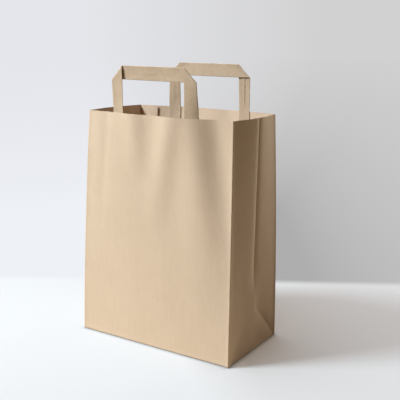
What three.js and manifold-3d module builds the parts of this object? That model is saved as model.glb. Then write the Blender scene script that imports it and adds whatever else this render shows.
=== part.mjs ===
// Paper carrier bag: a gusseted block-bottom sack with two flat folded-strip handles.
// Millimetres, +Z up, front wall towards -Y, origin at the middle of the base.

import * as THREE from "three";
import { mergeVertices } from "three/addons/utils/BufferGeometryUtils.js";
import Module from "manifold-3d";

// Sheet and overall size
const WIDTH = 250; // across the front wall at the base
const DEPTH = 140; // front to rear at the base, the width of a gusset
const HEIGHT = 330; // base to rim
const PAPER = 0.2; // one ply of kraft paper

// How the standing bag has relaxed from a plain box
const MOUTH_DRAW_X = 7.2; // each side of the mouth drawn in
const MOUTH_DRAW_Y = 5.6; // front and rear corners of the mouth drawn in
const MOUTH_SKEW = 2.2; // front rim pushed to the right and rear rim to the left, from above
const RELAX_POWER = 1.6; // how late up its height the bag leaves the plain box form
const CREASE_HOLD = 8; // how close to the corner creases the waves of a broad wall come
const GUSSET_BOW = 9; // middle of a gusset's rim pushed out
const GUSSET_CREASE = 2; // depth of the fold down the middle of a gusset
const CREASE_REACH = 9; // how far from the fold the paper still bends
const CREASE_ONSET = 60; // height over which the fold deepens above its lower end
const DIAGONAL_CREASE = 1; // depth of the slanting crease that ends the fold on one side
const FAINT_CREASE = 0.2; // depth of the one on the other side
const DIAGONAL_REACH = 6; // how far from such a crease the paper still bends

// Waves of a broad wall, as shares of the bag's width: middle at the rim, with x to the right as
// seen from outside, how far it drifts by the wave's lower end, half width, height and length
const WAVES = [
  { rim: -0.146, drift: 0.057, reach: 0.07, rise: 0.0187, length: 0.42 },
  { rim: 0.109, drift: -0.105, reach: 0.078, rise: 0.0228, length: 0.74 },
  { rim: 0.274, drift: 0.135, reach: 0.152, rise: 0.0415, length: 1.2 },
  { rim: 0.361, drift: 0.19, reach: 0.094, rise: -0.04, length: 0.912 },
  { rim: -0.336, drift: -0.044, reach: 0.036, rise: -0.0044, length: 0.788 },
];

// The two broad walls: how far each is bowed out at the middle of the rim, and how high its waves
// stand as a share of the heights above
const FRONT_WALL = { bow: 7, waviness: 1 };
const REAR_WALL = { bow: 13, waviness: 0.4 };

// Seam and block bottom
const SEAM_LAP = 30; // glued lap of the tube's seam, inside the rear wall
const FLAP_LAP = 24; // overlap of the two bottom flaps
const FOLD_BEAD = 1.5; // width of the creased edge round the base
const BASE_PLIES = 3; // plies where end flap and both bottom flaps lie on each other

// Handles and the patches that hold them
const STRIP_WIDTH = 19;
const STRIP_THICKNESS = 0.8; // several plies folded and glued flat
const HANDLE_WIDTH = 143; // outside edge to outside edge
const LEG_DEPTH = 55; // glued length below the rim
const STRIP_FLATTEN = 60; // height above the rim by which a leg has lost the curve of the wall
const FOLD_GAP = 1.2; // clear space between the two layers of a corner fold
const PATCH_DROP = 20; // rim to the patch's upper edge
const PATCH_OVERHANG = 10; // patch past the legs, to each side and below
const PATCH_RAMP = 4; // length over which the patch steps up onto a leg
const GLUE_GAP = 0.3; // glue line between separate pieces

// Where each handle was glued and how it stands, seen from outside: middle of the handle from the
// middle of its wall, rim to top, and how far the top leans outwards and sways to the right
const FRONT_HANDLE = { wall: FRONT_WALL, shift: 0, rise: 65, lean: 2, sway: -2 };
const REAR_HANDLE = { wall: REAR_WALL, shift: -2, rise: 68, lean: -1, sway: 1.5 };

// Fineness of the meshes
const WALL_COLUMNS = 32;
const WALL_ROWS = 15;
const ROW_POWER = 0.75; // below 1 the rows lie closer together towards the rim
const HALF_GUSSET_COLUMNS = 7;
const COLUMN_POWER = 1.6; // above 1 the columns lie closer together towards the fold
const STRIP_COLUMNS = 4;
const FOLD_STEPS = 6;
const LEG_GLUED_ROWS = 4;
const LEG_FREE_ROWS = 6;
const BAR_ROWS = 10;
const PATCH_COLUMNS = 24;
const PATCH_ROWS = 3;
const MERGE = 1e-4; // vertices closer than this are one

const FLOOR = BASE_PLIES * PAPER;
const LAP_EDGE = 1 - SEAM_LAP / (WIDTH / 2); // share of the rear wall where the seam lap ends
const LAP_STEP = (2 * PAPER) / (WIDTH / 2); // slope of its cut edge

const mix = THREE.MathUtils.lerp;
const clamp01 = (t) => THREE.MathUtils.clamp(t, 0, 1);
const smooth = (t) => THREE.MathUtils.smoothstep(t, 0, 1);
const steps = (count) => Array.from({ length: count + 1 }, (_, i) => i / count);

const wasm = await Module();
wasm.setup();

// Form of the walls

// Share of the relaxed form that is reached at a height: none at the base, all at the rim.
const relaxed = (z) => clamp01(z / HEIGHT) ** RELAX_POWER;
const halfWidth = (z) => WIDTH / 2 - MOUTH_DRAW_X * relaxed(z);
const halfDepth = (z) => DEPTH / 2 - MOUTH_DRAW_Y * relaxed(z);
const skew = (z) => MOUTH_SKEW * relaxed(z);

// Outward bulge of a broad wall, x to the right as seen from outside.
function wallBulge(wall, x, z) {
  const across = x / halfWidth(z);
  const held = 1 - Math.min(1, Math.abs(across)) ** CREASE_HOLD; // the corner creases stay straight
  const place = x / WIDTH;
  const below = (HEIGHT - z) / WIDTH;
  let waves = 0;
  for (const { rim, drift, reach, rise, length } of WAVES) {
    const drop = clamp01(below / length);
    const off = (place - rim - drift * drop) / reach;
    waves += rise * smooth(1 - drop) * Math.exp(-(off ** 2));
  }
  const bow = wall.bow * relaxed(z) * (1 - across ** 2);
  return bow + wall.waviness * held * waves * WIDTH;
}

// Distance of a broad wall's outer face from the bag's middle plane.
const wallOut = (wall, x, z) => halfDepth(z) + wallBulge(wall, x, z);

// The same on the flat facets between the columns of the wall's mesh.
function facetOut(wall, x, z) {
  const column = (2 * halfWidth(z)) / WALL_COLUMNS;
  const place = x / column + WALL_COLUMNS / 2;
  const before = Math.floor(place);
  const out = (index) => wallOut(wall, (index - WALL_COLUMNS / 2) * column, z);
  return mix(out(before), out(before + 1), place - before);
}

// Height of the slanting crease at a share of the gusset's half width: apex in the middle.
const creaseHeight = (share) => (DEPTH / 2) * (1 - Math.abs(share));

// Outward bulge of a gusset, share running from -1 at one corner to 1 at the other.
function gussetBulge(share, z) {
  const crease = creaseHeight(share);
  const inwards = 1 - Math.abs(share); // 0 at a corner, 1 at the fold
  const deep = smooth((z - crease) / CREASE_ONSET);
  const middle = 4 * Math.abs(share) * inwards;
  const bow = GUSSET_BOW * relaxed(z) * inwards;
  const fromFold = Math.abs(share) * halfDepth(z);
  const fold = GUSSET_CREASE * Math.exp(-fromFold / CREASE_REACH) * deep;
  const fromDiagonal = Math.abs(z - crease) * Math.SQRT1_2;
  const pressed = (share > 0 ? DIAGONAL_CREASE : FAINT_CREASE) * smooth(z / DIAGONAL_REACH);
  return bow - fold - pressed * middle * Math.exp(-fromDiagonal / DIAGONAL_REACH);
}

// Closed meshes

class SolidBuilder {
  points = [];
  faces = [];
  known = new Map();

  vertex(p) {
    const key = p.map((c) => c.toFixed(4)).join(" ");
    if (!this.known.has(key)) {
      this.known.set(key, this.points.length);
      this.points.push(p);
    }
    return this.known.get(key);
  }

  triangle(a, b, c) {
    const face = [a, b, c].map((p) => this.vertex(p));
    if (new Set(face).size === 3) this.faces.push(face);
  }

  quad(a, b, c, d) {
    this.triangle(a, b, c);
    this.triangle(a, c, d);
  }

  geometry() {
    const made = new THREE.BufferGeometry();
    made.setAttribute("position", new THREE.Float32BufferAttribute(this.points.flat(), 3));
    made.setIndex(this.faces.flat());
    made.computeVertexNormals();
    return made;
  }
}

// A sheet with thickness, from the grids of its two faces: rows of points, near face looking out.
function sheetGeometry(near, far) {
  const made = new SolidBuilder();
  const lastRow = near.length - 1;
  const lastColumn = near[0].length - 1;
  for (let i = 0; i < lastRow; i++) {
    for (let j = 0; j < lastColumn; j++) {
      made.quad(near[i][j], near[i][j + 1], near[i + 1][j + 1], near[i + 1][j]);
      made.quad(far[i][j + 1], far[i][j], far[i + 1][j], far[i + 1][j + 1]);
    }
    made.quad(near[i][0], near[i + 1][0], far[i + 1][0], far[i][0]);
    const j = lastColumn;
    made.quad(near[i][j], far[i][j], far[i + 1][j], near[i + 1][j]);
  }
  for (let j = 0; j < lastColumn; j++) {
    made.quad(near[0][j], far[0][j], far[0][j + 1], near[0][j + 1]);
    const i = lastRow;
    made.quad(near[i][j], near[i][j + 1], far[i][j + 1], far[i][j]);
  }
  return made.geometry();
}

function solidOf(geometry) {
  const bare = new THREE.BufferGeometry();
  bare.setAttribute("position", geometry.getAttribute("position"));
  bare.setIndex(geometry.index);
  const merged = mergeVertices(bare, MERGE);
  return new wasm.Manifold(
    new wasm.Mesh({
      numProp: 3,
      vertProperties: new Float32Array(merged.getAttribute("position").array),
      triVerts: new Uint32Array(merged.index.array),
    }),
  );
}

function geometryOf(solid) {
  const mesh = solid.getMesh();
  const made = new THREE.BufferGeometry();
  made.setAttribute("position", new THREE.BufferAttribute(mesh.vertProperties, 3));
  made.setIndex(new THREE.BufferAttribute(mesh.triVerts, 1));
  made.computeVertexNormals();
  return made;
}

// Bag body

// Places along a broad wall as shares of its half width, with the seam lap's edge where it has one.
function wallShares(hasLap) {
  const shares = steps(WALL_COLUMNS).map((t) => 2 * t - 1);
  if (!hasLap) return shares;
  const kept = shares.filter((s) => Math.abs(s - LAP_EDGE) > 2 * LAP_STEP);
  return [...kept, LAP_EDGE - LAP_STEP, LAP_EDGE].sort((a, b) => a - b);
}

// Places along a gusset as shares of its half depth, closest together beside the fold.
function gussetShares() {
  const half = steps(HALF_GUSSET_COLUMNS).map((t) => t ** COLUMN_POWER);
  return [...half.slice(1).reverse().map((s) => -s), ...half];
}

// One turn round the bag at a level. Levels 0 to 1 run from the base, or the gusset's slanting
// creases, to the rim; levels -1 to 0 fill the triangles under those creases.
function ring(level, inner) {
  const ply = inner ? PAPER : 0;
  const lift = (z) => (inner ? mix(FLOOR, HEIGHT, z / HEIGHT) : z);
  const points = [];

  // Broad wall in its own frame, turned half round for the rear one
  const addWall = (wall, turn, hasLap) => {
    const z = HEIGHT * Math.max(level, 0);
    for (const share of wallShares(hasLap)) {
      const x = share * halfWidth(z);
      const lap = inner && hasLap && share >= LAP_EDGE ? PAPER : 0;
      const y = wallOut(wall, x, z) - ply - lap;
      points.push([turn * (share * (halfWidth(z) - ply) + skew(z)), -turn * y, lift(z)]);
    }
  };

  const addGusset = (turn, hasLap) => {
    const lap = inner && hasLap ? PAPER : 0;
    for (const share of gussetShares()) {
      const crease = creaseHeight(share);
      const z = level < 0 ? crease * (1 + level) : mix(crease, HEIGHT, level);
      const x = halfWidth(z) + gussetBulge(share, z) - share * skew(z) - ply;
      const front = -(halfDepth(z) - ply - lap);
      const y = mix(front, halfDepth(z) - ply, (share + 1) / 2);
      points.push([turn * x, turn * y, lift(z)]);
    }
  };

  addWall(FRONT_WALL, 1, false);
  addGusset(1, false);
  addWall(REAR_WALL, -1, true);
  addGusset(-1, true);
  return points;
}

function sackGeometry() {
  const made = new SolidBuilder();
  const levels = [-1, -0.5, ...steps(WALL_ROWS).map((t) => t ** ROW_POWER)];
  const outer = levels.map((level) => ring(level, false));
  const inner = levels.map((level) => ring(level, true));
  const count = outer[0].length;
  const last = levels.length - 1;
  const underside = [0, 0, 0];
  const floor = [0, 0, FLOOR];
  for (let j = 0; j < count; j++) {
    const k = (j + 1) % count;
    for (let i = 0; i < last; i++) {
      made.quad(outer[i][j], outer[i][k], outer[i + 1][k], outer[i + 1][j]);
      made.quad(inner[i][k], inner[i][j], inner[i + 1][j], inner[i + 1][k]);
    }
    made.quad(outer[last][j], outer[last][k], inner[last][k], inner[last][j]);
    made.triangle(underside, outer[0][k], outer[0][j]);
    made.triangle(floor, inner[0][j], inner[0][k]);
  }
  return made.geometry();
}

// A flat recess of a given outline, from one height to another.
function recess(outline, from, to) {
  const shape = new THREE.Shape(outline.map(([x, y]) => new THREE.Vector2(x, y)));
  const made = new THREE.ExtrudeGeometry(shape, { depth: to - from, bevelEnabled: false });
  made.deleteAttribute("normal");
  made.deleteAttribute("uv");
  return solidOf(mergeVertices(made.translate(0, 0, from), MERGE));
}

// Steps of one ply between the folded flaps, on the underside and on the floor inside.
function flapSteps() {
  const x = WIDTH / 2 - FOLD_BEAD;
  const y = DEPTH / 2 - FOLD_BEAD;
  const lap = FLAP_LAP / 2;
  const apex = WIDTH / 2 - DEPTH / 2;
  const below = -1;
  const above = FLOOR + 1;
  const endTriangle = (side) => [
    [side * apex, 0],
    [side * x, -y],
    [side * x, y],
  ];
  const rearFlap = [
    [-apex - lap, lap],
    [apex + lap, lap],
    [x, y],
    [-x, y],
  ];
  const middle = apex - lap;
  const floorStrip = (front, rear) => [
    [-middle, front],
    [middle, front],
    [middle, rear],
    [-middle, rear],
  ];
  return [
    recess(endTriangle(1), below, 2 * PAPER),
    recess(endTriangle(-1).reverse(), below, 2 * PAPER),
    recess(rearFlap, below, PAPER),
    recess(floorStrip(-y, y), 2 * PAPER, above),
    recess(floorStrip(-y, -lap), PAPER, above),
  ];
}

function bodyGeometry() {
  return geometryOf(flapSteps().reduce((body, cut) => body.subtract(cut), solidOf(sackGeometry())));
}

// Handles and patches, in the frame of the wall that carries them

// The two legs of a handle as pairs of edges, left one first.
function legsOf({ shift }) {
  const left = shift - HANDLE_WIDTH / 2;
  const right = shift + HANDLE_WIDTH / 2;
  return [
    [left, left + STRIP_WIDTH],
    [right - STRIP_WIDTH, right],
  ];
}

// A point at a depth inwards from the inner face of the wall. Above the rim the strip carries on
// upwards, flattens out between its two legs, leans and sways.
function againstWall(handle, x, z, inwards) {
  const { wall } = handle;
  const glued = facetOut(wall, x, Math.min(z, HEIGHT));
  const [first, second] = legsOf(handle).map(([from, to]) => (from + to) / 2);
  const along = (x - first) / (second - first);
  const flat = mix(wallOut(wall, first, HEIGHT), wallOut(wall, second, HEIGHT), along);
  const free = clamp01((z - HEIGHT) / handle.rise);
  const out = mix(glued, flat, smooth((z - HEIGHT) / STRIP_FLATTEN)) + handle.lean * free;
  return [x + skew(z) + handle.sway * free, -(out - PAPER - GLUE_GAP - inwards), z];
}

function handleGeometry(handle) {
  const [[left, leftInside], [rightInside, right]] = legsOf(handle);
  const top = HEIGHT + handle.rise;
  const underside = top - STRIP_WIDTH;
  const outerRadius = STRIP_THICKNESS + FOLD_GAP / 2;
  const innerRadius = FOLD_GAP / 2;
  const wrap = outerRadius * Math.SQRT2; // where the fold leaves the edges of the strip
  const near = [];
  const far = [];

  // One row across the strip from edge to edge, on both faces
  const addRow = (a, b, nearDepth, farDepth, push = [0, 0], nearPush = 0, farPush = 0) => {
    const across = (depth, reach) =>
      steps(STRIP_COLUMNS).map((t) => {
        const x = mix(a[0], b[0], t) + push[0] * reach;
        const z = mix(a[1], b[1], t) + push[1] * reach;
        return againstWall(handle, x, z, depth);
      });
    near.push(across(nearDepth, nearPush));
    far.push(across(farDepth, farPush));
  };

  // A leg from its glued end to its corner fold, or back
  const addLeg = (edge, inside, upwards) => {
    const low = HEIGHT - LEG_DEPTH;
    const rows = [
      ...steps(LEG_GLUED_ROWS).map((t) => [mix(low, HEIGHT, t), mix(low, HEIGHT, t)]),
      ...steps(LEG_FREE_ROWS)
        .slice(1)
        .map((t) => [mix(HEIGHT, underside - wrap, t), mix(HEIGHT, top - wrap, t)]),
    ];
    for (const [za, zb] of upwards ? rows : rows.reverse()) {
      addRow([edge, za], [inside, zb], 0, STRIP_THICKNESS);
    }
  };

  // A corner fold: the strip rolls back on itself round a line at 45 degrees
  const addFold = (edge, inside, towards, upwards) => {
    const turns = steps(FOLD_STEPS).slice(1, -1);
    for (const t of upwards ? turns : turns.reverse()) {
      const angle = Math.PI * t;
      const slide = wrap * t;
      const a = [edge - towards * slide, underside - wrap + slide];
      const b = [inside - towards * slide, top - wrap + slide];
      const push = [towards * Math.SQRT1_2, Math.SQRT1_2];
      const swing = Math.cos(angle);
      addRow(
        a,
        b,
        outerRadius - outerRadius * swing,
        outerRadius - innerRadius * swing,
        push,
        outerRadius * Math.sin(angle),
        innerRadius * Math.sin(angle),
      );
    }
  };

  const addBar = () => {
    for (const t of steps(BAR_ROWS)) {
      const a = [mix(left + wrap, right - wrap, t), underside];
      const b = [mix(leftInside + wrap, rightInside - wrap, t), top];
      addRow(a, b, 2 * outerRadius, outerRadius + innerRadius);
    }
  };

  addLeg(left, leftInside, true);
  addFold(left, leftInside, -1, true);
  addBar();
  addFold(right, rightInside, 1, false);
  addLeg(right, rightInside, false);
  return sheetGeometry(near, far);
}

// A sheet over the two glued legs: against the wall, stepping up onto each leg.
function patchGeometry(handle) {
  const legs = legsOf(handle);
  const onLeg = STRIP_THICKNESS + GLUE_GAP;
  const depth = (x) => {
    const off = Math.min(...legs.map(([from, to]) => Math.max(from - x, x - to, 0)));
    return onLeg * clamp01(2 - off / (PATCH_RAMP / 2));
  };
  const stations = [legs[0][0] - PATCH_OVERHANG, legs[1][1] + PATCH_OVERHANG];
  for (const [from, to] of legs) {
    stations.push(from - PATCH_RAMP, from - PATCH_RAMP / 2);
    stations.push(...steps(STRIP_COLUMNS).map((t) => mix(from, to, t)));
    stations.push(to + PATCH_RAMP / 2, to + PATCH_RAMP);
  }
  const [innerLeft, innerRight] = [legs[0][1] + PATCH_RAMP, legs[1][0] - PATCH_RAMP];
  stations.push(...steps(PATCH_COLUMNS).slice(1, -1).map((t) => mix(innerLeft, innerRight, t)));
  stations.sort((a, b) => a - b);
  const low = HEIGHT - LEG_DEPTH - PATCH_OVERHANG;
  const heights = steps(PATCH_ROWS).map((t) => mix(low, HEIGHT - PATCH_DROP, t));
  const face = (ply) =>
    heights.map((z) => stations.map((x) => againstWall(handle, x, z, depth(x) + ply)));
  return sheetGeometry(face(0), face(PAPER));
}

// Assembly

function kraft(color) {
  return new THREE.MeshStandardMaterial({ color, roughness: 0.85, metalness: 0 });
}

function part(name, geometry, color) {
  const made = new THREE.Mesh(geometry, kraft(color));
  made.name = name;
  return made;
}

const bag = new THREE.Group();
bag.add(part("bag_body", bodyGeometry(), "#d8c0a6"));

const frontWall = new THREE.Group();
frontWall.add(part("front_handle", handleGeometry(FRONT_HANDLE), "#c8b094"));
frontWall.add(part("front_handle_patch", patchGeometry(FRONT_HANDLE), "#ccb498"));

const rearWall = new THREE.Group();
rearWall.rotation.z = Math.PI;
rearWall.add(part("rear_handle", handleGeometry(REAR_HANDLE), "#c8b094"));
rearWall.add(part("rear_handle_patch", patchGeometry(REAR_HANDLE), "#ccb498"));

bag.add(frontWall, rearWall);

export default bag;
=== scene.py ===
# Paper carrier bag: a standing kraft sack with two flat folded-strip handles.
# Metres, +Z up, front wall towards -Y, origin at the middle of the base.

import math
from collections import namedtuple

import bmesh
import bpy
from mathutils import Matrix, Vector, noise


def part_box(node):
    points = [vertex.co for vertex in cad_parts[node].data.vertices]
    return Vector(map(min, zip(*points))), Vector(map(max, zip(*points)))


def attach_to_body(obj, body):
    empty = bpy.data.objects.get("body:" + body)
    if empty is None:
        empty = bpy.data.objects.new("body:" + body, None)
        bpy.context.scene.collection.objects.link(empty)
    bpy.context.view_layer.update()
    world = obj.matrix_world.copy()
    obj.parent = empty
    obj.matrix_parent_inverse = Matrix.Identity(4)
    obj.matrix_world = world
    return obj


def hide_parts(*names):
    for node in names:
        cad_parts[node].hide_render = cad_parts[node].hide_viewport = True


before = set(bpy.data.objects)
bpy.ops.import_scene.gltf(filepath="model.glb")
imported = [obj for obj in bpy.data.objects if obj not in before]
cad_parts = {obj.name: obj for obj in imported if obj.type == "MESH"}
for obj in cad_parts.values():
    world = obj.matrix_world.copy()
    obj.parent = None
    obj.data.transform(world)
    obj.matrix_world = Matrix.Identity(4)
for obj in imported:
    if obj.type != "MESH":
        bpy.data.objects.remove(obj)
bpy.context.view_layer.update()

MM = 0.001
MERGE = 1e-6  # points closer than this are one
SHARP = math.radians(45)  # edges that turn by more than this stay sharp

# Sheet and overall size, the same as in the solids
WIDTH = 250 * MM
DEPTH = 140 * MM
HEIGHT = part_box("bag_body")[1].z
PAPER = 0.2 * MM

# How the standing bag has relaxed from a plain box
MOUTH_DRAW_X = 7.2 * MM  # how far the mouth is drawn in at each end of its width
MOUTH_DRAW_Y = 5.6 * MM  # the same at each broad wall
MOUTH_SKEW = 2.2 * MM  # shift of each broad wall at the rim, to the right as seen from outside
RELAX_POWER = 1.6  # the higher, the nearer to the rim the walls leave the plain box
CREASE_HOLD = 8  # the higher, the nearer to a crease a wall starts to bulge
GUSSET_BOW = 9 * MM
GUSSET_CREASE = 2 * MM  # depth of a gusset's pressed fold
CREASE_REACH = 9 * MM
CREASE_ONSET = 60 * MM  # height above the slanting creases at which the fold has its depth
DIAGONAL_CREASE = 1 * MM  # depth of the slanting crease in one half of a gusset
FAINT_CREASE = 0.2 * MM  # and in the other half
DIAGONAL_REACH = 6 * MM

# Waves of a broad wall, as shares of the bag's width: middle at the rim, how far it drifts by the
# wave's lower end, half width, height and length
Wave = namedtuple("Wave", "rim drift reach rise length")
WAVES = (
    Wave(-0.146, 0.057, 0.07, 0.0187, 0.42),
    Wave(0.109, -0.105, 0.078, 0.0228, 0.74),
    Wave(0.274, 0.135, 0.152, 0.0415, 1.2),
    Wave(0.361, 0.19, 0.094, -0.04, 0.912),
    Wave(-0.336, -0.044, 0.036, -0.0044, 0.788),
)

# The two broad walls: bow at the middle of the rim and height of the waves as a share of the above
Wall = namedtuple("Wall", "bow waviness")
FRONT_WALL = Wall(7 * MM, 1)
REAR_WALL = Wall(13 * MM, 0.4)

# Finer form of the sheet
CORNER_RADIUS = 0.6 * MM  # bend of a vertical crease
PINCH = 0.75 * MM  # how far a crease stands proud after being folded flat
PINCH_REACH = 3.2 * MM
BASE_PINCH = 0.4 * MM  # the same at the bottom edge of the walls
BASE_PINCH_REACH = 3 * MM
FOLD_PINCH = 0.7 * MM  # how much deeper than in the solids the fold of a gusset is pressed
FOLD_PINCH_REACH = 4 * MM
BASE_RADIUS = 1.2 * MM  # bend between a wall and the base
RIPPLE = 0.3 * MM  # small unevenness of the paper
RIPPLE_ACROSS = 34 * MM
RIPPLE_ALONG = 120 * MM
WALL_SEED = 3.7
GUSSET_SEED = 9.1

# Seam and block bottom
SEAM_LAP = 30 * MM
LAP_LIFT = 2 * MM  # the seam's free edge stands off the wall at the rim
LAP_LIFT_LENGTH = 70 * MM
LAP_CURL = 1.6  # the higher, the nearer to its free edge the lap leaves the wall
LAP_GAP = 0.05 * MM
FLAP_LAP = 24 * MM
FOLD_BEAD = 1.5 * MM
FLAP_GAP = 0.1 * MM
INSIDE_FLOOR = 0.45 * MM  # height of the sack's own bottom inside, under the inner flaps
END_FLAP_TOP = 0.6 * MM
REAR_FLAP_TOP = 0.52 * MM

# Handles and the patches that hold them
STRIP_WIDTH = 19 * MM
STRIP_THICKNESS = 0.8 * MM
HANDLE_WIDTH = 143 * MM
LEG_DEPTH = 55 * MM
STRIP_FLATTEN = 60 * MM
PATCH_DROP = 20 * MM
PATCH_OVERHANG = 10 * MM
PATCH_RAMP = 4 * MM
PATCH_HOLD = 1 / 3  # share of the ramp over which the patch still lies level with the leg
GLUE_GAP = 0.3 * MM
EDGE_SWELL = 0.55 * MM  # half thickness of the strip at its folded edges
EDGE_REACH = 1.6 * MM
SWELL_LENGTH = 22 * MM  # height above the rim by which the edges have swollen
PLY_EDGE = 0.45  # place across the strip where its outer ply ends
PLY_STEP = 0.25 * MM
PLY_LIFT = 0.5 * MM  # how far its free edge curls up
PLY_LIFT_REACH = 2.2 * MM
SPRING_REACH = 18 * MM  # distance from a sprung fold at which the bar stands off furthest
ROLL_REACH = 14 * MM  # distance from a fold at which the bar is rolled in full

# Where each handle was glued and how it stands, seen from outside, as in the solids
Handle = namedtuple("Handle", "wall shift rise lean sway worn")
# How it was worn: space between the layers of a corner fold, how far the left fold has sprung open,
# angle by which the bar's top edge is rolled outwards and how much of the outer ply's edge shows
Worn = namedtuple("Worn", "gap spring roll ply")
FRONT_WORN = Worn(1.2 * MM, 1.2 * MM, math.radians(3.5), 0.12)
REAR_WORN = Worn(0.3 * MM, 0, math.radians(6), 1)
FRONT_HANDLE = Handle(FRONT_WALL, 0, 65 * MM, 2 * MM, -2 * MM, FRONT_WORN)
REAR_HANDLE = Handle(REAR_WALL, -2 * MM, 68 * MM, -1 * MM, 1.5 * MM, REAR_WORN)

# Camera, fitted to the photograph's corners
EYE = Vector((555.1, -851.4, 421)) * MM
YAW = 0.5506
PITCH = 0.1841
ROLL = 0.0189
FOCAL_PIXELS = 711.8
FRAME_PIXELS = 400
SENSOR = 36
LENS_SHIFT = -0.05
VIEW_RIGHT = Vector((math.cos(YAW), math.sin(YAW), 0))
VIEW_AHEAD = Vector((-math.sin(YAW), math.cos(YAW), 0))

# Lamps, placed by direction and distance from the middle of the bag
Lamp = namedtuple("Lamp", "towards aim distance size spread power colour")
KEY = Lamp(
    towards=Vector((-0.493, -0.486, 0.722)),
    aim=Vector((-0.3, -0.1, 0.06)),
    distance=3,
    size=0.8,
    spread=math.radians(56),
    power=17.1,
    colour=(0.873, 0.975, 1),
)
BOUNCE = Lamp(
    towards=Vector((0.174, 0.985, 0)),
    aim=Vector((0.1, 0, 0.165)),
    distance=1.6,
    size=0.3,
    spread=math.pi,
    power=14.3,
    colour=(1, 0.93, 0.79),
)
AMBIENT = 0.14
AMBIENT_COLOUR = (1, 0.74, 0.5)

# Floor, which has the bag's shadow and passes into the backdrop behind it. Seen directly it has a painted
# glow, which is darkened into painted shade near the bag away from the key and along the line where the bag
# meets it
FLOOR_SIZE = 60
FLOOR_DROP = 0.8 * MM  # leaves a thin line of shadow under the stiff bottom edge
FLOOR_SHADE = (0.29, 0.3, 0.32)  # what the lamps light
FLOOR_GLOW = (0.465, 0.455, 0.455)  # painted light: a glow added in open places
FLOOR_PAINTED_SHADE = (0.17, 0.13, 0.095)  # painted shade: the darker glow added close to the bag, away from the key
FLOOR_BOUNCE = (0.46, 0.38, 0.275)  # what it has in place of these as it lights the bag
FLOOR_NEAR = 0.22  # distance behind the bag where the passage starts
FLOOR_FAR = 0.256  # and where it ends
FLOOR_SKEW = 0.43  # share by which a distance to another side counts in this
CONTACT_REACH = 0.25  # how far from the bag the painted shade reaches
CONTACT_FULL = 0.45  # open share of the surroundings at which that painted shade is full
CONTACT_LINE = 7 * MM  # width of the painted dark line of shade where the bag meets the floor
LINE_FULL = 0.5  # open share of the surroundings at which the painted line is darkest
LINE_GLOW = 0.35  # share of the floor's painted glow that is left there
LEE = (-0.01, 0.05)  # distance from the middle of the bag, away from the key, where the painted shade sets in

# Backdrop, left and right as the camera sees it, from its tone far off to the one at its foot. Its tones
# are painted light and shade: lighter towards the key on the left, darker on the right and darkest at the
# foot beside the bag, as the bag's painted shadow
BACKDROP_LEFT = (0.785, 0.79, 0.83)
BACKDROP_LEFT_FOOT = (0.855, 0.88, 0.922)
BACKDROP_RIGHT = (0.635, 0.635, 0.637)
BACKDROP_RIGHT_FOOT = (0.425, 0.42, 0.42)
BACKDROP_REACH = 0.17  # how far to each side the tone still changes
FOOT = 0.24  # distance to the right of the bag up to which the tone is that of the foot, painted light at the left and the bag's painted shadow at the right
FOOT_SKEW = 0.27  # share by which a distance to another side counts in this

# Kraft paper: noises as scale, detail and roughness, and how they are put together
CLOUD = (26, 4, 0.6)
STREAK = (260, 3, 0.6)
FIBRE = (900, 5, 0.65)
SPECK = (1500, 2, 0.5)
TOOTH = (2400, 3, 0.6)
CLOUD_SHARE = 0.4
STREAK_SHARE = 0.3
MOTTLE_RANGE = (0.36, 0.64)  # noise at the darkest and the lightest tone
TONE_SPREAD = (0.05, 0.065, 0.08)  # how far red, green and blue vary
SPECK_RANGE = (0.66, 0.76)  # noise where a speck sets in and where it is darkest
SPECK_STRENGTH = 0.3
SPECK_SHADE = 0.6
RELIEF_SHARE = 0.7  # share of the fibres in the relief, the rest is tooth
RELIEF_STRENGTH = 0.25
RELIEF_HEIGHT = 0.15 * MM
ROUGHNESS = (0.76, 0.94)
SPECULAR = 0.25

# The three papers: base colour, stretch of the noise along its grain and contrast of its tone
Paper = namedtuple("Paper", "colour grain contrast")
SHEET = Paper((0.66, 0.5, 0.375), (1, 1, 0.12), 0.8)
STRIP = Paper((0.52, 0.385, 0.275), (0.5, 1, 0.4), 2)
PATCH = Paper((0.6, 0.45, 0.33), (1, 1, 0.12), 0.8)


def mix(a, b, t):
    return a + (b - a) * t


def clamp01(t):
    return min(1, max(0, t))


def smooth(t):
    t = clamp01(t)
    return t * t * (3 - 2 * t)


def steps(count):
    return [i / count for i in range(count + 1)]


# Form of the walls


def relaxed(z):
    """Share of the relaxed form that is reached at a height."""
    return clamp01(z / HEIGHT) ** RELAX_POWER


def half_width(z):
    return WIDTH / 2 - MOUTH_DRAW_X * relaxed(z)


def half_depth(z):
    return DEPTH / 2 - MOUTH_DRAW_Y * relaxed(z)


def skew(z):
    return MOUTH_SKEW * relaxed(z)


def ripple(across, up, seed):
    return RIPPLE * noise.noise(Vector((across / RIPPLE_ACROSS, up / RIPPLE_ALONG, seed)))


def wall_bulge(wall, x, z):
    """Outward bulge of a broad wall, x to the right as seen from outside."""
    across = x / half_width(z)
    held = 1 - min(1, abs(across)) ** CREASE_HOLD
    waves = 0
    for wave in WAVES:
        drop = clamp01((HEIGHT - z) / WIDTH / wave.length)
        off = (x / WIDTH - wave.rim - wave.drift * drop) / wave.reach
        waves += wave.rise * smooth(1 - drop) * math.exp(-(off**2))
    bow = wall.bow * relaxed(z) * (1 - across**2)
    return bow + held * (wall.waviness * waves * WIDTH + ripple(x, z, WALL_SEED))


def wall_out(wall, x, z):
    """Distance of a broad wall's outer face from the bag's middle plane."""
    return half_depth(z) + wall_bulge(wall, x, z)


def crease_height(share):
    """Height of a gusset's slanting crease at a share of its half width."""
    return DEPTH / 2 * (1 - abs(share))


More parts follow.
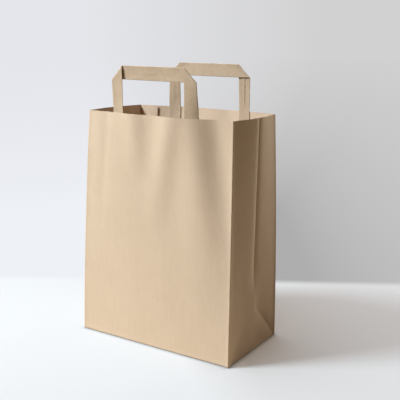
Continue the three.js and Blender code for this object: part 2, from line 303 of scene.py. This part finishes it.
def gusset_bulge(share, z):
    """Outward bulge of a gusset, share running from -1 at one corner to 1 at the other."""
    crease = crease_height(share)
    inwards = 1 - abs(share)
    deep = smooth((z - crease) / CREASE_ONSET)
    middle = 4 * abs(share) * inwards
    bow = GUSSET_BOW * relaxed(z) * inwards
    from_fold = abs(share) * half_depth(z)
    pressed = FOLD_PINCH * math.exp(-from_fold / FOLD_PINCH_REACH)
    fold = (GUSSET_CREASE * math.exp(-from_fold / CREASE_REACH) + pressed) * deep
    from_diagonal = abs(z - crease) * math.sqrt(0.5)
    standing = smooth(z / DIAGONAL_REACH)
    slant = (DIAGONAL_CREASE if share > 0 else FAINT_CREASE) * standing
    diagonal = slant * middle * math.exp(-from_diagonal / DIAGONAL_REACH)
    uneven = ripple(share * DEPTH / 2, z, GUSSET_SEED) * (1 - abs(share) ** CREASE_HOLD) * standing
    return bow - fold - diagonal + uneven


def pinch(from_crease):
    return PINCH * math.exp(-from_crease / PINCH_REACH)


def base_bend(z):
    """How far a wall is drawn in at the base, where it stands proud and then bends under."""
    low = 1 - clamp01(z / BASE_RADIUS)
    proud = BASE_PINCH * math.exp(-z / BASE_PINCH_REACH)
    return BASE_RADIUS * (1 - math.sqrt(1 - low * low)) - proud


# Closed meshes


class MeshBuilder:
    """Collects the faces of closed forms and merges points that coincide."""

    def __init__(self):
        self.points = []
        self.faces = []
        self.known = {}

    def vertex(self, point):
        key = tuple(round(c / MERGE) for c in point)
        if key not in self.known:
            self.known[key] = len(self.points)
            self.points.append(tuple(point))
        return self.known[key]

    def face(self, corners):
        found = []
        for corner in corners:
            index = self.vertex(corner)
            if index not in found:
                found.append(index)
        if len(found) > 2:
            self.faces.append(found)

    def band(self, first, second):
        """Quads between two closed rows of points."""
        count = len(first)
        for j in range(count):
            k = (j + 1) % count
            self.face([first[j], first[k], second[k], second[j]])

    def fan(self, row, centre):
        for j, point in enumerate(row):
            self.face([point, row[(j + 1) % len(row)], centre])

    def prism(self, outline, low, high):
        bottom = [(x, y, low) for x, y in outline]
        top = [(x, y, high) for x, y in outline]
        self.face(bottom[::-1])
        self.face(top)
        self.band(bottom, top)

    def tube(self, loops):
        """A closed form swept through loops of points, with flat ends."""
        for first, second in zip(loops, loops[1:]):
            self.band(first, second)
        self.face(loops[0][::-1])
        self.face(loops[-1])

    def sheet(self, near, far):
        """A sheet with thickness from the rows of points of its two faces."""
        self.tube([a + b[::-1] for a, b in zip(near, far)])

    def piece(self, name, material):
        mesh = bpy.data.meshes.new(name)
        mesh.from_pydata(self.points, [], self.faces)
        turned = bmesh.new()
        turned.from_mesh(mesh)
        bmesh.ops.recalc_face_normals(turned, faces=turned.faces)
        turned.to_mesh(mesh)
        turned.free()
        mesh.shade_smooth()
        mesh.set_sharp_from_angle(angle=SHARP)
        mesh.materials.append(material)
        made = bpy.data.objects.new(name, mesh)
        bpy.context.scene.collection.objects.link(made)
        return made


# Bag body

WALL_COLUMNS = 96
GUSSET_COLUMNS = 22
WALL_ROWS = 96
CORNER_STEPS = 4
LAP_COLUMNS = 16
LAP_ROWS = 60
EDGE_PLACES = (CORNER_RADIUS, 1.1 * MM, 1.8 * MM, 2.8 * MM, 4.2 * MM)
FOLD_PLACES = (0, 0.35 * MM, 0.8 * MM, 1.4 * MM, 2.2 * MM, 3.2 * MM, 4.6 * MM)
BASE_LEVELS = (-1, -0.995, -0.99, -0.98, -0.95, -0.9, -0.8, -0.65, -0.5, -0.35, -0.2, -0.1, -0.05)
LOW_LEVELS = (0, 0.0005, 0.001, 0.002, 0.003, 0.005)


def wall_shares():
    """Places along a broad wall as shares of its half width, closest at the creases."""
    near = [1 - place / (WIDTH / 2) for place in EDGE_PLACES]
    inner = [near[-1] * (2 * t - 1) for t in steps(WALL_COLUMNS)]
    return [-s for s in near[:-1]] + inner + near[:-1][::-1]


def gusset_shares():
    """Places along a gusset as shares of its half depth, closest at the creases and the fold."""
    near = [1 - place / (DEPTH / 2) for place in EDGE_PLACES]
    start = FOLD_PLACES[-1] / (DEPTH / 2)
    fold = [place / (DEPTH / 2) for place in FOLD_PLACES[:-1]]
    half = fold + [mix(start, near[-1], t) for t in steps(GUSSET_COLUMNS)] + near[:-1][::-1]
    return [-s for s in half[:0:-1]] + half


WALL_SHARES = wall_shares()
GUSSET_SHARES = gusset_shares()


def inner_height(z, inner):
    return mix(INSIDE_FLOOR, HEIGHT, z / HEIGHT) if inner else z


def wall_run(level, inner, turn):
    """Points along a broad wall at a level, turned half round for the rear one."""
    ply = PAPER if inner else 0
    wall = FRONT_WALL if turn > 0 else REAR_WALL
    z = HEIGHT * max(level, 0)
    width = half_width(z)
    bend = base_bend(z)
    run = []
    for share in WALL_SHARES:
        crease = pinch((1 - abs(share)) * width)
        x = share * (width - bend - ply) + skew(z)
        y = wall_out(wall, share * width, z) + crease - bend - ply
        run.append(Vector((turn * x, -turn * y, inner_height(z, inner))))
    return run


def gusset_run(level, inner, turn):
    """Points along a gusset, from the corner beside one broad wall to the other."""
    ply = PAPER if inner else 0
    run = []
    for share in GUSSET_SHARES:
        slant = crease_height(share)
        z = slant * (1 + level) if level < 0 else mix(slant, HEIGHT, level)
        depth = half_depth(z)
        bend = base_bend(z)
        crease = pinch((1 - abs(share)) * depth)
        x = half_width(z) + gusset_bulge(share, z) - share * skew(z) + crease - bend - ply
        run.append(Vector((turn * x, turn * share * (depth - bend - ply), inner_height(z, inner))))
    return run


def corner_arc(start, end, from_wall):
    """The rounded crease between two neighbouring runs."""
    arc = []
    for t in steps(CORNER_STEPS)[1:-1]:
        rise = math.sin(math.pi / 2 * t)
        fall = math.cos(math.pi / 2 * t)
        z = mix(start.z, end.z, t)
        if from_wall:
            arc.append(Vector((mix(start.x, end.x, rise), mix(end.y, start.y, fall), z)))
        else:
            arc.append(Vector((mix(end.x, start.x, fall), mix(start.y, end.y, rise), z)))
    return arc


def ring(level, inner):
    """One turn round the bag. Levels below 0 fill the triangles under the slanting creases."""
    runs = []
    for turn in (1, -1):
        runs.append(wall_run(level, inner, turn))
        runs.append(gusset_run(level, inner, turn))
    points = []
    for k, run in enumerate(runs):
        following = runs[(k + 1) % len(runs)]
        points += run + corner_arc(run[-1], following[0], from_wall=k % 2 == 0)
    return points


def add_sack(made):
    levels = [*BASE_LEVELS, *LOW_LEVELS]
    levels += [mix(LOW_LEVELS[-1], 1, t) for t in steps(WALL_ROWS)[1:]]
    outer = [ring(level, inner=False) for level in levels]
    inner = [ring(level, inner=True) for level in levels]
    for i in range(len(levels) - 1):
        made.band(outer[i], outer[i + 1])
        made.band(inner[i + 1], inner[i])
    made.band(outer[-1], inner[-1])
    x_share = 1 - FOLD_BEAD / (WIDTH / 2)
    y_share = 1 - FOLD_BEAD / (DEPTH / 2)
    bead = [Vector((p.x * x_share, p.y * y_share, 0)) for p in outer[0]]
    recess = [Vector((p.x, p.y, 2 * PAPER)) for p in bead]
    made.band(bead, outer[0])
    made.band(recess, bead)
    made.fan(recess[::-1], Vector((0, 0, 2 * PAPER)))
    made.fan(inner[0], Vector((0, 0, INSIDE_FLOOR)))


def add_seam_lap(made):
    """The glued lap inside the rear wall, its free edge standing off towards the rim."""
    heights = [mix(INSIDE_FLOOR, HEIGHT - LAP_GAP, t) for t in steps(LAP_ROWS)]
    near = []
    far = []
    for z in heights:
        high = smooth(1 - (HEIGHT - z) / LAP_LIFT_LENGTH)
        corner = half_width(z) - 2 * PAPER
        rows = ([], [])
        for t in steps(LAP_COLUMNS):
            x = corner - SEAM_LAP * t
            lift = LAP_LIFT * high * t**LAP_CURL
            y = wall_out(REAR_WALL, x, z) + pinch(half_width(z) - x) - PAPER - LAP_GAP - lift
            rows[0].append(Vector((-x - skew(z), y, z)))
            rows[1].append(Vector((-x - skew(z), y - PAPER, z)))
        near.append(rows[0])
        far.append(rows[1])
    made.sheet(near, far)


def add_bottom_flaps(made):
    """The folded flaps of the block bottom, from the outermost up."""
    inset = FOLD_BEAD + BASE_RADIUS + FLAP_GAP
    x = WIDTH / 2 - inset
    y = DEPTH / 2 - inset
    apex = (WIDTH - DEPTH) / 2
    lap = FLAP_LAP / 2

    def flap(side):
        outline = [(-x, -y), (x, -y), (apex, 0), (apex + lap, lap), (-apex - lap, lap), (-apex, 0)]
        return [(px, side * py) for px, py in outline]

    def strip(left, right, front, rear):
        return [(left, front), (right, front), (right, rear), (left, rear)]

    made.prism(flap(1), 0, PAPER - LAP_GAP)
    made.prism(flap(-1), PAPER, 2 * PAPER - LAP_GAP)
    middle = apex - lap
    seat = mix(2 * PAPER, INSIDE_FLOOR, 0.5)
    made.prism(strip(-x, -middle, -y, y), seat, END_FLAP_TOP)
    made.prism(strip(middle, x, -y, y), seat, END_FLAP_TOP)
    made.prism(strip(FLAP_GAP - middle, middle - FLAP_GAP, -lap, y), seat, REAR_FLAP_TOP)


# Handles and patches, in the frame of the wall that carries them

EDGE_SHARES = (0, 0.006, 0.02, 0.042, 0.07, 0.1, 0.15)
MIDDLE_SHARES = [mix(0.2, 0.8, t) for t in steps(10)]
ACROSS = [*EDGE_SHARES, *MIDDLE_SHARES, *[1 - s for s in EDGE_SHARES[::-1]]]
PLY_SHARES = [PLY_EDGE + gap for gap in (-0.002, 0, 0.02, 0.05)]
PLY_FADE = 0.2  # share of the strip over which the outer ply runs into its folded edge
GLUED_ROWS = 12
FREE_ROWS = 18
FOLD_STEPS = 14
BAR_ROWS = 48
PATCH_COLUMNS = 162
PATCH_ROWS = 18


def legs_of(handle):
    """The two legs as pairs of edges, left one first."""
    left = handle.shift - HANDLE_WIDTH / 2
    right = handle.shift + HANDLE_WIDTH / 2
    return (left, left + STRIP_WIDTH), (right - STRIP_WIDTH, right)


def against_wall(handle, x, z, inwards):
    """A point inside the wall. Above the rim the strip flattens out between its legs and leans."""
    wall = handle.wall
    glued = wall_out(wall, x, min(z, HEIGHT))
    first, second = [(a + b) / 2 for a, b in legs_of(handle)]
    along = (x - first) / (second - first)
    flat = mix(wall_out(wall, first, HEIGHT), wall_out(wall, second, HEIGHT), along)
    free = clamp01((z - HEIGHT) / handle.rise)
    out = mix(glued, flat, smooth((z - HEIGHT) / STRIP_FLATTEN)) + handle.lean * free
    return Vector((x + skew(z) + handle.sway * free, -(out - PAPER - GLUE_GAP - inwards), z))


def strip_loop(swell, shown):
    """Section of a strip as places across it and offsets from its middle, swollen at the edges."""
    plain = STRIP_THICKNESS / 2

    def half(t):
        from_edge = min(t, 1 - t) * STRIP_WIDTH
        puff = swell * (EDGE_SWELL - plain) * math.exp(-((from_edge / (2 * EDGE_REACH)) ** 2))
        inside = 1 - clamp01(from_edge / mix(plain, EDGE_SWELL, swell))
        return (plain + puff) * math.sqrt(1 - inside * inside)

    def ply(t):
        if t < PLY_EDGE:
            return 0
        curl = PLY_LIFT * math.exp(-(t - PLY_EDGE) * STRIP_WIDTH / PLY_LIFT_REACH)
        return (PLY_STEP + curl * swell) * smooth((1 - t) / PLY_FADE) * swell * shown

    near = [(t, -half(t)) for t in ACROSS]
    far = [(t, half(t) + ply(t)) for t in sorted([*ACROSS, *PLY_SHARES], reverse=True)[1:-1]]
    return near + far


def handle_piece(name, material, handle):
    """A strip folded at 45 degrees at both corners, its bar behind its legs."""
    (left, left_inside), (right_inside, right) = legs_of(handle)
    top = HEIGHT + handle.rise
    underside = top - STRIP_WIDTH
    middle = STRIP_THICKNESS / 2
    fold_radius = STRIP_THICKNESS + handle.worn.gap / 2
    wrap = fold_radius * math.sqrt(2)  # where a corner fold leaves the edges of the strip
    loops = []

    def section(z):
        return strip_loop(smooth((z - HEIGHT) / SWELL_LENGTH), handle.worn.ply)

    def stand_off(x, z):
        """How far the bar stands off inwards: its left fold has sprung open and it is rolled."""
        up = z - underside
        from_left = max(0, x - wrap - left - up) * math.sqrt(0.5)
        from_right = max(0, right - wrap - x - up) * math.sqrt(0.5)
        open_share = from_left / SPRING_REACH
        sprung = handle.worn.spring * open_share * math.exp(1 - open_share)
        rolled = math.tan(handle.worn.roll) * smooth(min(from_left, from_right) / ROLL_REACH)
        return sprung - rolled * (up - STRIP_WIDTH / 2)

    def add_leg(edge, inside, upwards):
        low = HEIGHT - LEG_DEPTH
        rows = [(mix(low, HEIGHT, t), mix(low, HEIGHT, t)) for t in steps(GLUED_ROWS)]
        for t in steps(FREE_ROWS)[1:]:
            rows.append((mix(HEIGHT, underside - wrap, t), mix(HEIGHT, top - wrap, t)))
        for za, zb in rows if upwards else rows[::-1]:
            loop = []
            for t, offset in section((za + zb) / 2):
                loop.append(against_wall(handle, mix(edge, inside, t), mix(za, zb, t), middle + offset))
            loops.append(loop)

    def add_fold(edge, inside, towards, upwards):
        """The strip rolls back on itself round a line at 45 degrees."""
        turns = steps(FOLD_STEPS)[1:-1]
        for turn in turns if upwards else turns[::-1]:
            slide = wrap * turn
            angle = math.pi * turn
            loop = []
            for t, offset in section(top):
                radius = fold_radius - middle - offset
                push = radius * math.sin(angle) * math.sqrt(0.5)
                x = mix(edge, inside, t) + towards * (push - slide)
                z = mix(underside, top, t) - wrap + slide + push
                loop.append(against_wall(handle, x, z, fold_radius - radius * math.cos(angle)))
            loops.append(loop)

    def add_bar():
        for along in steps(BAR_ROWS):
            low = mix(left + wrap, right - wrap, along)
            high = mix(left_inside + wrap, right_inside - wrap, along)
            loop = []
            for t, offset in section(top):
                x = mix(low, high, t)
                z = mix(underside, top, t)
                inwards = 2 * fold_radius - middle - offset + stand_off(x, z)
                loop.append(against_wall(handle, x, z, inwards))
            loops.append(loop)

    add_leg(left, left_inside, True)
    add_fold(left, left_inside, -1, True)
    add_bar()
    add_fold(right, right_inside, 1, False)
    add_leg(right, right_inside, False)
    made = MeshBuilder()
    made.tube(loops)
    return made.piece(name, material)


def patch_piece(name, material, handle):
    """A sheet over the two glued legs: against the wall, stepping up onto each leg."""
    legs = legs_of(handle)
    first = legs[0][0] - PATCH_OVERHANG
    last = legs[1][1] + PATCH_OVERHANG
    low = HEIGHT - LEG_DEPTH - PATCH_OVERHANG
    places = [mix(first, last, t) for t in steps(PATCH_COLUMNS)]
    heights = [mix(low, HEIGHT - PATCH_DROP, t) for t in steps(PATCH_ROWS)]

    def depth(x):
        off = min(max(a - x, x - b, 0) for a, b in legs)
        fall = (1 - off / PATCH_RAMP) / (1 - PATCH_HOLD)
        return (STRIP_THICKNESS + GLUE_GAP) * smooth(fall)

    def face(ply):
        return [[against_wall(handle, x, z, depth(x) + ply) for x in places] for z in heights]

    made = MeshBuilder()
    made.sheet(face(0), face(PAPER))
    return made.piece(name, material)


# Kraft paper


class Nodes:
    """Adds nodes to a tree and links them."""

    def __init__(self, tree):
        self.tree = tree
        tree.nodes.clear()

    def set(self, socket, value):
        if isinstance(value, bpy.types.NodeSocket):
            self.tree.links.new(value, socket)
        else:
            socket.default_value = value

    def add(self, kind, settings=None, **values):
        made = self.tree.nodes.new(kind)
        for key, value in (settings or {}).items():
            setattr(made, key, value)
        for key, value in values.items():
            self.set(made.inputs[key.replace("_", " ")], value)
        return made

    def math(self, operation, *values):
        made = self.tree.nodes.new("ShaderNodeMath")
        made.operation = operation
        for socket, value in zip(made.inputs, values):
            self.set(socket, value)
        return made.outputs["Value"]

    def weighted(self, a, weight, b):
        """a times weight plus b times what is left."""
        return self.math("ADD", self.math("MULTIPLY", a, weight), self.math("MULTIPLY", b, 1 - weight))

    def blend(self, factor, a, b):
        made = self.tree.nodes.new("ShaderNodeMix")
        made.data_type = "RGBA"
        self.set(made.inputs[0], factor)
        self.set(made.inputs[6], a)
        self.set(made.inputs[7], b)
        return made.outputs[2]

    def layer(self, factor, first, second):
        made = self.tree.nodes.new("ShaderNodeMixShader")
        self.set(made.inputs[0], factor)
        self.set(made.inputs[1], first.outputs[0])
        self.set(made.inputs[2], second.outputs[0])
        return made

    def along(self, place, direction):
        """How far a place lies along a fixed direction."""
        made = self.add("ShaderNodeVectorMath", {"operation": "DOT_PRODUCT"})
        self.set(made.inputs[0], place)
        self.set(made.inputs[1], direction)
        return made.outputs["Value"]

    def noise(self, place, scale, detail, roughness):
        made = self.add("ShaderNodeTexNoise", Vector=place, Scale=scale, Detail=detail, Roughness=roughness)
        return made.outputs["Fac"]

    def ranged(self, value, low, high, to_low, to_high):
        return self.add(
            "ShaderNodeMapRange",
            Value=value,
            From_Min=low,
            From_Max=high,
            To_Min=to_low,
            To_Max=to_high,
        ).outputs["Result"]


def kraft(name, paper):
    """Matt brown paper: cloudy tone, fine fibres along the grain, sparse specks and a faint tooth."""
    material = bpy.data.materials.new(name)
    material.use_nodes = True
    nodes = Nodes(material.node_tree)
    place = nodes.add("ShaderNodeTexCoord").outputs["Object"]
    along = nodes.add("ShaderNodeMapping", Vector=place, Scale=paper.grain).outputs["Vector"]
    cloud = nodes.noise(place, *CLOUD)
    streak = nodes.noise(along, *STREAK)
    fibre = nodes.noise(along, *FIBRE)
    speck = nodes.noise(along, *SPECK)
    tooth = nodes.noise(place, *TOOTH)
    dark = [c * (1 - paper.contrast * share) for c, share in zip(paper.colour, TONE_SPREAD)]
    light = [c * (1 + paper.contrast * share) for c, share in zip(paper.colour, TONE_SPREAD)]
    mottle = nodes.weighted(streak, STREAK_SHARE, nodes.weighted(cloud, CLOUD_SHARE, fibre))
    tone = nodes.blend(nodes.ranged(mottle, *MOTTLE_RANGE, 0, 1), (*dark, 1), (*light, 1))
    spots = nodes.ranged(speck, *SPECK_RANGE, 0, SPECK_STRENGTH)
    speckled = nodes.blend(spots, tone, (*[c * SPECK_SHADE for c in dark], 1))
    height = nodes.weighted(fibre, RELIEF_SHARE, tooth)
    relief = nodes.add("ShaderNodeBump", Strength=RELIEF_STRENGTH, Distance=RELIEF_HEIGHT, Height=height)
    rough = nodes.ranged(fibre, 0, 1, *ROUGHNESS)
    shader = nodes.add("ShaderNodeBsdfPrincipled", Base_Color=speckled, Roughness=rough)
    nodes.set(shader.inputs["Normal"], relief.outputs["Normal"])
    nodes.set(shader.inputs["Specular IOR Level"], SPECULAR)
    nodes.add("ShaderNodeOutputMaterial", Surface=shader.outputs["BSDF"])
    return material


kraft_sheet = kraft("kraft_sheet", SHEET)
kraft_strip = kraft("kraft_strip", STRIP)
kraft_patch = kraft("kraft_patch", PATCH)


# Assembly


def attach(piece, node, turned=False):
    if turned:
        piece.data.transform(Matrix.Rotation(math.pi, 4, "Z"))
    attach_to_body(piece, "root")
    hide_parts(node)


sack = MeshBuilder()
add_sack(sack)
add_seam_lap(sack)
add_bottom_flaps(sack)
attach(sack.piece("kraft_sack", kraft_sheet), "bag_body")

front_strip = handle_piece("front_strip", kraft_strip, FRONT_HANDLE)
rear_strip = handle_piece("rear_strip", kraft_strip, REAR_HANDLE)
front_patch = patch_piece("front_patch", kraft_patch, FRONT_HANDLE)
rear_patch = patch_piece("rear_patch", kraft_patch, REAR_HANDLE)
attach(front_strip, "front_handle")
attach(rear_strip, "rear_handle", turned=True)
attach(front_patch, "front_handle_patch")
attach(rear_patch, "rear_handle_patch", turned=True)


# Stage


def seen_directly(nodes):
    """1 where the background is seen directly, mirrored or through glass."""
    path = nodes.add("ShaderNodeLightPath").outputs
    either = nodes.math("MAXIMUM", path["Is Camera Ray"], path["Is Glossy Ray"])
    return nodes.math("MAXIMUM", either, path["Is Transmission Ray"])


def backdrop_colour(nodes, towards, foot):
    """Backdrop tone by direction from the bag, and by how much of the foot's tone it has: painted light
    towards the key and painted shade away from it.
    """
    unit = nodes.add("ShaderNodeVectorMath", {"operation": "NORMALIZE"}, Vector=towards)
    side = nodes.along(unit.outputs["Vector"], VIEW_RIGHT)
    share = nodes.ranged(side, -BACKDROP_REACH, BACKDROP_REACH, 0, 1)
    left = nodes.blend(foot, (*BACKDROP_LEFT, 1), (*BACKDROP_LEFT_FOOT, 1))
    right = nodes.blend(foot, (*BACKDROP_RIGHT, 1), (*BACKDROP_RIGHT_FOOT, 1))
    return nodes.blend(share, left, right)


def floor_material():
    """A pale floor that passes into the backdrop and keeps the bag's shadow, with a painted glow that is
    darkened near the bag into painted shade.
    """
    material = bpy.data.materials.new("pale_floor")
    material.use_nodes = True
    nodes = Nodes(material.node_tree)
    seen = seen_directly(nodes)
    spot = nodes.add("ShaderNodeTexCoord").outputs["Object"]
    away = nodes.add("ShaderNodeVectorMath", {"operation": "LENGTH"}, Vector=spot).outputs["Value"]
    behind = nodes.along(spot, VIEW_AHEAD)
    far = nodes.add(
        "ShaderNodeMapRange",
        {"interpolation_type": "SMOOTHSTEP"},
        Value=nodes.math("MAXIMUM", behind, nodes.math("MULTIPLY", away, FLOOR_SKEW)),
        From_Min=FLOOR_NEAR,
        From_Max=FLOOR_FAR,
    ).outputs["Result"]
    shade = nodes.blend(seen, (*FLOOR_BOUNCE, 1), (*FLOOR_SHADE, 1))
    matt = nodes.add("ShaderNodeBsdfDiffuse", Color=shade)
    # Painted shade: the glow is darkened near the bag on the side away from the key, and most in a thin
    # line where the bag meets the floor
    clear = nodes.add("ShaderNodeAmbientOcclusion", Distance=CONTACT_REACH).outputs["AO"]
    lee = nodes.ranged(nodes.along(spot, (-KEY.towards.x, -KEY.towards.y, 0)), *LEE, 0, 1)
    painted_shade = nodes.math("MULTIPLY", nodes.ranged(clear, CONTACT_FULL, 1, 1, 0), lee)
    lift = nodes.blend(painted_shade, (*FLOOR_GLOW, 1), (*FLOOR_PAINTED_SHADE, 1))
    tight = nodes.add("ShaderNodeAmbientOcclusion", Distance=CONTACT_LINE).outputs["AO"]
    shown = nodes.math("MULTIPLY", seen, nodes.ranged(tight, LINE_FULL, 1, LINE_GLOW, 1))
    glow = nodes.add("ShaderNodeEmission", Color=lift, Strength=shown)
    near = nodes.add("ShaderNodeAddShader")
    nodes.set(near.inputs[0], matt.outputs[0])
    nodes.set(near.inputs[1], glow.outputs[0])
    # Painted light and shade at the backdrop's foot: lighter at the left, the bag's painted shadow at the
    # right
    beside = nodes.along(spot, VIEW_RIGHT)
    reach = nodes.math("MAXIMUM", beside, nodes.math("MULTIPLY", away, FOOT_SKEW))
    foot = nodes.math("MINIMUM", nodes.math("DIVIDE", FOOT, reach), 1)
    back = nodes.add("ShaderNodeEmission", Color=backdrop_colour(nodes, spot, foot))
    both = nodes.layer(nodes.math("MULTIPLY", far, seen), near, back)
    nodes.add("ShaderNodeOutputMaterial", Surface=both.outputs[0])
    return material


def add_floor():
    half = FLOOR_SIZE / 2
    mesh = bpy.data.meshes.new("floor")
    corners = [(-half, -half, -FLOOR_DROP), (half, -half, -FLOOR_DROP)]
    corners += [(half, half, -FLOOR_DROP), (-half, half, -FLOOR_DROP)]
    mesh.from_pydata(corners, [], [(0, 1, 2, 3)])
    mesh.materials.append(floor_material())
    floor = bpy.data.objects.new("floor", mesh)
    bpy.context.scene.collection.objects.link(floor)


def add_world():
    world = bpy.data.worlds.new("studio")
    world.use_nodes = True
    bpy.context.scene.world = world
    nodes = Nodes(world.node_tree)
    towards = nodes.add("ShaderNodeTexCoord").outputs["Generated"]
    soft = nodes.add("ShaderNodeBackground", Color=(*AMBIENT_COLOUR, 1), Strength=AMBIENT)
    # Seen directly: the backdrop's far tones, painted lighter towards the key and darker away from it
    back = nodes.add("ShaderNodeBackground", Color=backdrop_colour(nodes, towards, 0), Strength=1)
    both = nodes.layer(seen_directly(nodes), soft, back)
    nodes.add("ShaderNodeOutputWorld", Surface=both.outputs[0])


def add_lamp(name, lamp):
    """A round area lamp that looks at a point near the bag."""
    light = bpy.data.lights.new(name, "AREA")
    light.shape = "DISK"
    light.size = lamp.size
    light.spread = lamp.spread
    light.energy = lamp.power
    light.color = lamp.colour
    made = bpy.data.objects.new(name, light)
    made.visible_camera = False
    bpy.context.scene.collection.objects.link(made)
    made.location = Vector((0, 0, HEIGHT / 2)) + lamp.towards.normalized() * lamp.distance
    made.rotation_euler = (lamp.aim - made.location).to_track_quat("-Z", "Y").to_euler()


def add_camera():
    data = bpy.data.cameras.new("camera")
    data.sensor_width = SENSOR
    data.lens = FOCAL_PIXELS / FRAME_PIXELS * SENSOR
    data.shift_y = LENS_SHIFT
    camera = bpy.data.objects.new("camera", data)
    bpy.context.scene.collection.objects.link(camera)
    forward = VIEW_AHEAD * math.cos(PITCH) - Vector((0, 0, math.sin(PITCH)))
    up = VIEW_RIGHT.cross(forward)
    rolled_right = VIEW_RIGHT * math.cos(ROLL) + up * math.sin(ROLL)
    rolled_up = up * math.cos(ROLL) - VIEW_RIGHT * math.sin(ROLL)
    turn = Matrix((rolled_right, rolled_up, -forward)).transposed().to_4x4()
    camera.matrix_world = Matrix.Translation(EYE) @ turn
    bpy.context.scene.camera = camera


add_camera()
add_floor()
add_world()
add_lamp("key", KEY)
add_lamp("bounce", BOUNCE)
bpy.context.scene.view_settings.view_transform = "Standard"
